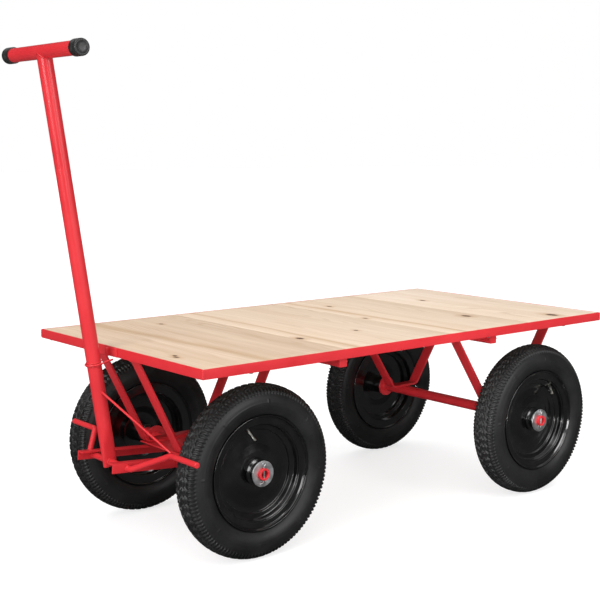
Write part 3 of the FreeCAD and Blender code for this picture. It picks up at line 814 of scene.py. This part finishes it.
def rim_rail(name, corner_a, corner_b):
    """One side: point = corner + outward x + run times (x at the end), so each end is a mitre."""
    toe = 0.0007
    section = outline_2d([(0, 0), (ANGLE_WALL - ANGLE, 0), (ANGLE_WALL - ANGLE, ANGLE_WALL),
                          (-ANGLE_WALL, ANGLE_WALL), (-ANGLE_WALL, ANGLE), (0, ANGLE)], toe, 4)
    section[:, 0] = np.where(section[:, 0] < -ANGLE_WALL - 1e-4, section[:, 0] - ANGLE_WALL, section[:, 0])
    a, b = np.array(corner_a, float), np.array(corner_b, float)
    run = (b - a) / np.linalg.norm(b - a)
    outward = np.array([run[1], -run[0], 0.0])
    share = np.linspace(0, 1, 40)[:, None, None]
    offset = section[None, :, :1] * outward
    cut = section[None, :, :1] * run
    rings = (a + offset - cut) * (1 - share) + (b + offset + cut) * share
    rings[..., 2] = RIM_BOTTOM + section[None, :, 1]
    red_steel(name, [loft(rings)], "chassis", name.replace("angle_", "rail_"))


hx, hy = DECK_HALF
left = DECK_MIDDLE - hx
right = DECK_MIDDLE + hx
CORNERS = [(left, -hy, 0), (right, -hy, 0), (right, hy, 0), (left, hy, 0)]
for name, a, b in (("angle_right", 0, 1), ("angle_front", 1, 2), ("angle_left", 2, 3), ("angle_rear", 3, 0)):
    rim_rail(name, CORNERS[a], CORNERS[b])
beads = []
for x, y, _ in CORNERS:
    x -= 0.0006 * np.sign(x - DECK_MIDDLE)
    y -= 0.0006 * np.sign(y)
    beads.append(weld([(x, y, RIM_BOTTOM + 0.0015), (x, y, DECK_TOP - 0.0012)], 0.0020))
red_steel("corner_welds", beads, "chassis")
print("rim closed, with", len(beads), "corner welds")

# %% [markdown]
# ## Under-frame
#
# The deck stands on four hangers of flat bar, each bent into an open trapezoid, and on two
# square tubes.  A hanger is one flat section carried along a bent line.

# %% Hangers, cross members and their welds
BAR_W = 0.030
BAR_T = 0.005
HANGERS = {
    "front": (AXLE_X["front"] + 0.006, 0.2039, 0.076, 0.181, 0.0665, -1),
    "rear": (AXLE_X["rear"] + 0.005, 0.1975, 0.042, 0.186, 0.174, 1),
}
TUBE = 0.020
TUBE_AHEAD = {"front": 0.0, "rear": 0.005}


def leg_x(spec, side, height):
    """Where the leg's middle line is at that height."""
    centre, base, low, high, _, _ = spec
    return centre + side * (low + (height - base) / (RIM_BOTTOM - base) * (high - low))


joint_welds = []
tubes = []
for end, spec in HANGERS.items():
    centre, base, low, high, hanger_y, member_side = spec
    for hand, sign in (("left", 1), ("right", -1)):
        y = sign * hanger_y
        tops = {s: RIM_BOTTOM - (TUBE if s == member_side else 0.0) - 0.0007 for s in (-1, 1)}
        line = bent([(leg_x(spec, -1, tops[-1]), y, tops[-1]), (centre - low, y, base),
                     (centre + low, y, base), (leg_x(spec, 1, tops[1]), y, tops[1])], 0.0125, 7)
        skin = bar(divided(line, 0.004), BAR_T, BAR_W, 0.0011, up=(0, 1, 0))
        spot = end + "_" + hand
        red_steel("flat_hanger_" + spot, [skin], "chassis", "hanger_" + spot)
        for s in (-1, 1):
            x = leg_x(spec, s, tops[s])
            z = tops[s] - 0.0005
            for step in (-0.0045, 0.0045):
                joint_welds.append(weld([(x + step, y - 0.014, z), (x + step, y + 0.014, z)], 0.0021))
    at = leg_x(spec, member_side, RIM_BOTTOM - TUBE) + TUBE_AHEAD[end]
    reach = DECK_HALF[1] - 0.014
    z = RIM_BOTTOM - TUBE / 2
    line = divided([(at, -reach, z), (at, reach, z)], 0.03)
    tubes.append(bar(line, TUBE, TUBE, 0.0022))
    for sign in (-1, 1):
        for step in (-TUBE / 2, TUBE / 2):
            x = at + step
            joint_welds.append(weld([(x, sign * reach, z), (x, sign * (reach - 0.012), z + 0.009)], 0.0018))
red_steel("square_tubes", tubes, "chassis", "cross_members")
red_steel("frame_welds", joint_welds, "chassis")
print(len(joint_welds), "welds under the deck")

# %% [markdown]
# ## Axles and turntable
#
# Each axle is a painted tube with a collar welded inside every wheel.  Outside the hub come two
# zinc washers and a split pin, bent open below so that it can't fall out.

# %% Axles, collars and washers
END_PLAY = 0.0003
AXLE_BORE = 0.008
WASHERS = [(0.0263, 0.0250), (0.0290, 0.0270)]


def axle_set(end, body):
    """Tube with chamfered mouths, its collars, washers and split pins."""
    x = AXLE_X[end]
    reach = AXLE_REACH[end]
    track = HALF_TRACK[end]
    middle = (x, 0, WHEEL_R)
    half = [(AXLE_R, reach - 0.0006), (AXLE_R - 0.0006, reach), (AXLE_BORE + 0.0008, reach),
            (AXLE_BORE, reach - 0.0008)]
    wall = [(r, -s) for r, s in half[::-1]] + half
    red_steel("axle_tube_" + end, [turned(wall, middle, (0, 1, 0), 48)], body, end + "_axle")
    inner = track - 0.024 - END_PLAY
    for_collars, for_washers, for_pins = [], [], []
    for side in (1, -1):
        start = 0.151 if end == "front" else inner - 0.005
        outline = [(0.01255, start), (0.0254, start), (0.0260, start + 0.0006), (0.0260, start + 0.0044),
                   (0.0254, start + 0.005)]
        if end == "front":
            outline += [(0.0160, start + 0.005), (0.0160, inner - 0.0004), (0.0156, inner)]
        outline.append((0.01255, outline[-1][1]))
        for_collars.append(turned(outline, middle, (0, side, 0), 64))
        for_collars.append(weld(wheel_ring((x, side * start, WHEEL_R), 0.0128, 40), 0.0020))
        for offset, radius in WASHERS:
            s = track + offset
            washer = [(0.01255, s), (radius - 0.0005, s), (radius, s + 0.0005), (radius, s + 0.0020),
                      (radius - 0.0005, s + 0.0025), (0.0133, s + 0.0025), (0.01255, s + 0.0018)]
            for_washers.append(turned(washer, middle, (0, side, 0), 72))
        for_pins += split_pin(x, side * (track + 0.0346))
    red_steel("collars_" + end, for_collars, body, end + "_collars")
    make("zinc_washers_" + end, for_washers, ZINC, body, [end + "_washers"])
    make("cotter_pins_" + end, for_pins, ZINC, body, [end + "_split_pins"])


def split_pin(x, y):
    """Two half-round legs side by side, an eye above, and tails bent apart below."""
    legs = []
    for side in (1, -1):
        step = side * 0.0010
        tail = [(x + step + side * 0.0105, y, WHEEL_R - 0.0195), (x + step, y, WHEEL_R - 0.0165),
                (x + step, y, WHEEL_R + 0.0168), (x + side * 0.0034, y, WHEEL_R + 0.0215)]
        legs.append(round_bar(divided(bent(tail, 0.002, 6), 0.0012), 0.0010, (0, 1, 0), 12, 0.0003))
    a = np.linspace(-0.25, math.pi + 0.25, 24)
    eye = np.stack([x + 0.0036 * np.cos(a), np.full(24, y), WHEEL_R + 0.0212 + 0.0032 * np.sin(a)], -1)
    legs.append(round_bar(eye, 0.0010, (0, 1, 0), 12, 0.0003))
    return legs


axle_set("front", "steering")
axle_set("rear", "chassis")
print("axles done")

# %% [markdown]
# The hangers' bases are welded to a square plate in front and straight to the axle behind.
# The disc under the plate belongs to the axle, and the kingpin goes through both.

# %% Plates, kingpin and axle welds
plate_z = WHEEL_R + AXLE_R
front_x = AXLE_X["front"]
disc = [(0.00606, 0.0), (0.0744, 0.0), (0.0750, 0.0006), (0.0750, 0.0024), (0.0744, 0.0030),
        (0.00606, 0.0030)]
red_steel("turning_disc", [turned(disc, (front_x, 0, plate_z), (0, 0, 1), 96)], "steering", "turntable_disc")
side_line = np.array([(front_x, -0.083, plate_z + 0.0049), (front_x, 0.083, plate_z + 0.0049)])
red_steel("fixed_plate", [bar(divided(side_line, 0.02), 0.172, 0.003, 0.0008)], "chassis", "turntable_plate")
plate_welds = []
for y in (sign * 0.0665 + step for sign in (-1, 1) for step in (-BAR_W / 2, BAR_W / 2)):
    plate_welds.append(weld([(front_x - 0.062, y, 0.2018), (front_x + 0.062, y, 0.2018)], 0.0022))
for y in (-0.174, 0.174):
    for step in (-0.0085, 0.0085):
        x = AXLE_X["rear"] + step
        plate_welds.append(weld([(x, y - 0.016, 0.1935), (x, y + 0.016, 0.1935)], 0.0026))
red_steel("base_welds", plate_welds, "chassis")
for name in ("kingpin", "kingpin_nut"):
    NODES[name].data.materials.clear()
    NODES[name].data.materials.append(ZINC)
print("turntable done")

# %% [markdown]
# Two arms of angle run from the front axle to the handle's cross rod.  Each slopes gently up
# towards the front, with its flange turned inward on top.

# %% Yoke arms
ARM_TOP = [(AXLE_X["front"] + 0.0055, 0.18747), (0.571, 0.208)]


def yoke_arm(name, side):
    """L outline, upright outside and flange on top inside, carried along the sloping line."""
    section = outline_2d([(0, 0), (0, -ANGLE), (-ANGLE_WALL, -ANGLE), (-ANGLE_WALL, -ANGLE_WALL),
                          (-ANGLE, -ANGLE_WALL), (-ANGLE, 0)], 0.0007, 4)
    (x0, z0), (x1, z1) = ARM_TOP
    line = divided([(x0, side * 0.072, z0), (x1, side * 0.072, z1)], 0.02)
    rings = carried(line, section * (side, 1.0))
    welds = [
        weld([(x0 + 0.002, side * 0.0725, 0.176), (x0 + 0.004, side * 0.0725, 0.190)], 0.0024),
        weld([(x0 + 0.006, side * 0.056, 0.1885), (x0 + 0.006, side * 0.069, 0.1885)], 0.0024),
    ]
    red_steel(name, [loft(rings)] + welds, "steering", name.replace("arm_of_angle", "yoke_arm"))


yoke_arm("arm_of_angle_left", 1)
yoke_arm("arm_of_angle_right", -1)
print("yoke done")

# %% [markdown]
# ## Handle
#
# The handle is one round tube whose foot is pressed flat to sit on the cross rod.  Its section
# changes from a flat oval to a circle as it rises; the T-grip is welded across the top.

# %% Handle tube with its flattened foot
HANDLE_R = 0.015
GRIP_R = 0.014


def superoval(half_x, half_y, power, count=40):
    """x = a sign(c)|c|^(2/p), y = b sign(s)|s|^(2/p): p = 2 is an ellipse, more is boxier."""
    a = np.linspace(0, 2 * math.pi, count, endpoint=False)
    c, s = np.cos(a), np.sin(a)
    x = half_x * np.sign(c) * np.abs(c) ** (2 / power)
    y = half_y * np.sign(s) * np.abs(s) ** (2 / power)
    return np.stack([x, y], -1)


FOOT_BELOW = 0.010
FOOT_HALF = (0.0152, 0.0060)
height = np.array([-0.0100, -0.0098, -0.0095, -0.0090, -0.004, 0.005, 0.016, 0.026, 0.034, 0.042,
                   0.050, 0.058, 0.066, 0.073, 0.080, 0.10])
blend = smooth(height, 0.018, 0.078)
chamfer = 0.0010 * np.clip(1 - (height + FOOT_BELOW) / 0.0010, 0, 1) ** 2
half_wide, half_thin = (half + (HANDLE_R - half) * blend - chamfer for half in FOOT_HALF)
power = 2.0 + 1.6 * (1 - blend)
sections = np.stack([superoval(t, w, p) for w, t, p in zip(half_wide, half_thin, power)])
line = PIVOT + height[:, None] * UP_HANDLE
foot_rings = carried(line, sections, up=(1, 0, 0))
top = PIVOT + UP_HANDLE * (np.linalg.norm(GRIP - PIVOT) - 0.004)
shaft_line = divided([line[-1], top], 0.03)[1:]
shaft_rings = carried(shaft_line, superoval(HANDLE_R, HANDLE_R, 2.0), up=(1, 0, 0))
tube_skin = loft(np.concatenate([foot_rings, shaft_rings]))
saddle_a = np.linspace(0, 2 * math.pi, 60)
forward = np.cross((0, 1, 0), UP_HANDLE)
around = HANDLE_R * (np.cos(saddle_a)[:, None] * forward + np.sin(saddle_a)[:, None] * np.array([0, 1, 0]))
rise = -np.sqrt(np.maximum(GRIP_R ** 2 - (HANDLE_R * np.cos(saddle_a)) ** 2 * 0.87, 0))
saddle = GRIP + around + rise[:, None] * UP_HANDLE
red_steel("pull_handle", [tube_skin, weld(saddle, 0.0020)], "handle", "handle_tube", "handle_foot")
grip_wall = [(0.012, -0.146), (GRIP_R, -0.146), (GRIP_R, 0.146), (0.012, 0.146)]
red_steel("cross_grip", [turned(grip_wall, GRIP, (0, 1, 0), 40)], "handle", "grip_tube")
print("handle done")

# %% [markdown]
# The caps are moulded rubber, pushed over the grip's ends: a domed edge, fine ribs round the
# barrel and a shallow dish in the face.

# %% Grip caps
def grip_cap(side):
    """Outline with five small ribs, turned about the grip."""
    s0, s1 = 0.126, 0.150
    ribs = [(0.0165 - 0.0005 * (k % 2), s0 + 0.004 + 0.0012 * k) for k in range(11)]
    outline = [(GRIP_R, s0), (0.0160, s0), (0.0165, s0 + 0.0008)] + ribs
    outline += [(0.0165, s1 - 0.0030), (0.0162, s1 - 0.0014), (0.0152, s1 - 0.0004), (0.0138, s1),
                (0.0120, s1), (0.0108, s1 - 0.0008), (0.0050, s1 - 0.0009), (0.00001, s1 - 0.0009),
                (0.00001, s1 - 0.0030), (GRIP_R, s1 - 0.0030)]
    return turned(outline, GRIP, (0, side, 0), 56)


caps = {hand: grip_cap(side) for hand, side in (("left", 1), ("right", -1))}
for hand, skin in caps.items():
    make("end_cap_" + hand, [skin], GRIP_RUBBER, "handle", ["grip_cap_" + hand])
print(len(caps), "caps")

# %% [markdown]
# The parking brake is bent round bar fixed to the cross rod.  With the handle upright, each bar
# presses on a front tyre.  A thin brace ties the left bar to the handle.

# %% Cross rod, brake bars and brace
ROD_R = 0.0065
ROD_HALF = 0.076
STUB_R = 0.006
STUB_Z = 0.2375
STUB_X = AXLE_X["front"] + math.sqrt((WHEEL_R + STUB_R + 0.0004) ** 2 - (STUB_Z - WHEEL_R) ** 2)


def brake_bar(inner, outer, side):
    """Round bar: out of the rod, back and up to the tread, then along the axle line."""
    corners = [(PIVOT[0], side * ROD_HALF, PIVOT[2]), (PIVOT[0], side * (ROD_HALF + 0.008), PIVOT[2]),
               (STUB_X, side * inner, STUB_Z), (STUB_X, side * outer, STUB_Z)]
    return round_bar(divided(bent(corners, 0.009, 9), 0.004), STUB_R, (0.3, 0, 1), 24, 0.0012)


rod = round_bar(divided([PIVOT - (0, ROD_HALF, 0), PIVOT + (0, ROD_HALF, 0)], 0.02), ROD_R)
foot_weld = [weld(wheel_ring(PIVOT + (0, step, 0), 0.0075, 30), 0.0018) for step in (0.0062, -0.0062)]
red_steel("pivot_rod", [rod] + foot_weld, "handle", "handle_cross_rod")
for hand, inner, outer, side in (("left", 0.184, 0.276, 1), ("right", 0.113, 0.204, -1)):
    red_steel("tyre_brake_" + hand, [brake_bar(inner, outer, side)], "handle", "brake_bar_" + hand)
brace_top = PIVOT + UP_HANDLE * 0.153 + np.array([0, 0.0135, 0])
brace_low = np.array([STUB_X + 0.001, 0.185, STUB_Z + 0.006])
brace = round_bar(divided([brace_top, brace_low], 0.01), 0.0023)
red_steel("thin_brace", [brace], "handle", "brake_brace")
print("brake done")

# %% [markdown]
# A wire hook turns round the handle between two keeper rings and reaches back to the rim.

# %% Hook, keepers and catch
HOOK_R = 0.0020
HOOK_Z = 0.4036
hook_at = PIVOT + UP_HANDLE * ((HOOK_Z - PIVOT[2]) / UP_HANDLE[2])
ring_r = HANDLE_R + HOOK_R + 0.0004


def about_handle(degrees, radius):
    """point = middle + r (cos a * forward + sin a * left), square to the handle."""
    a = np.radians(degrees)[:, None]
    return hook_at + radius * (np.cos(a) * forward + np.sin(a) * np.array([0.0, 1.0, 0.0]))


curl = about_handle(np.linspace(-128, 105, 40), ring_r)
away = (curl[-1] - curl[-2]) / np.linalg.norm(curl[-1] - curl[-2])
wire = np.concatenate([curl, [curl[-1] + away * 0.012, curl[-1] + away * 0.0355]])
red_steel("rim_hook", [round_bar(wire, HOOK_R, UP_HANDLE, 16, 0.0015)], "hook", "handle_hook")
collar = [(HANDLE_R - 0.0002, 0.0), (0.0161, 0.0001), (0.0165, 0.0006), (0.0165, 0.0014), (0.0161, 0.0019),
          (HANDLE_R - 0.0002, 0.0020)]
keepers = [turned(collar, hook_at + UP_HANDLE * step, UP_HANDLE, 48)
           for step in (HOOK_R + 0.0006, -HOOK_R - 0.0026)]
red_steel("keeper_rings", keepers, "handle", "hook_keepers")
edge = DECK_MIDDLE + DECK_HALF[0] + 0.0015
catch_line = np.array([(edge, -0.022, DECK_TOP - 0.01025), (edge, 0.014, DECK_TOP - 0.01025)])
lip = np.array([(edge + 0.0045, -0.018, RIM_BOTTOM + 0.0005), (edge + 0.0045, -0.018, DECK_TOP - 0.001)])
catch = [bar(catch_line, 0.003, 0.0185, 0.0008), bar(lip, 0.004, 0.0085, 0.0008, up=(1, 0, 0))]
red_steel("rim_catch", catch, "chassis", "hook_catch")
print("hook done")

# %% [markdown]
# The boards are held by pan-head screws from below, zinc plated, with a small round recess.

# %% Deck screws
inset = ANGLE / 2 + 0.001
SCREW_SPOTS = [(sx * (DECK_HALF[0] - inset), y) for sx in (1, -1) for y in (-0.290, 0.290)]
SCREW_SPOTS += [(x, sy * (DECK_HALF[1] - inset)) for sy in (1, -1) for x in (0.480, 0.080, -0.200, -0.470)]
PAN = [(0.00001, 0.0), (0.0025, 0.0), (0.0050, 0.0), (0.0050, -0.0014), (0.0044, -0.0026), (0.0032, -0.0033),
       (0.0018, -0.0034), (0.0011, -0.0024), (0.00001, -0.0022)]
heads = [turned(PAN, (x + DECK_MIDDLE, y, RIM_BOTTOM - 0.0001), (0, 0, 1), 24) for x, y in SCREW_SPOTS]
make("pan_screws", heads, ZINC, "chassis", ["deck_screws"])
print(len(heads), "screws")

# %% [markdown]
# ## Floor and finish
#
# The floor is a pale matt sweep.  Like the sky, it looks whiter to the camera than the light it
# throws back.

# %% Floor finish and end
FLOOR_GLOW = 0.72
FLOOR_IN_GLOSS = (0.05, 0.05, 0.05, 1)
floor_finish, tree, shader, place = new_finish("pale_floor", Specular_IOR_Level=0.2, Roughness=0.9)
shade = mixed(tree, noise(tree, place, 1.5), (0.40, 0.40, 0.40, 1), (0.42, 0.42, 0.42, 1))
rays = node(tree, "ShaderNodeLightPath")
shade = mixed(tree, rays.outputs["Is Glossy Ray"], shade, FLOOR_IN_GLOSS)
tree.links.new(shade, shader.inputs["Base Color"])
glow = times(tree, rays.outputs["Is Camera Ray"], FLOOR_GLOW)
tree.links.new(glow, shader.inputs["Emission Strength"])
shader.inputs["Emission Color"].default_value = (1, 1, 1, 1)
floor.data.materials.append(floor_finish)
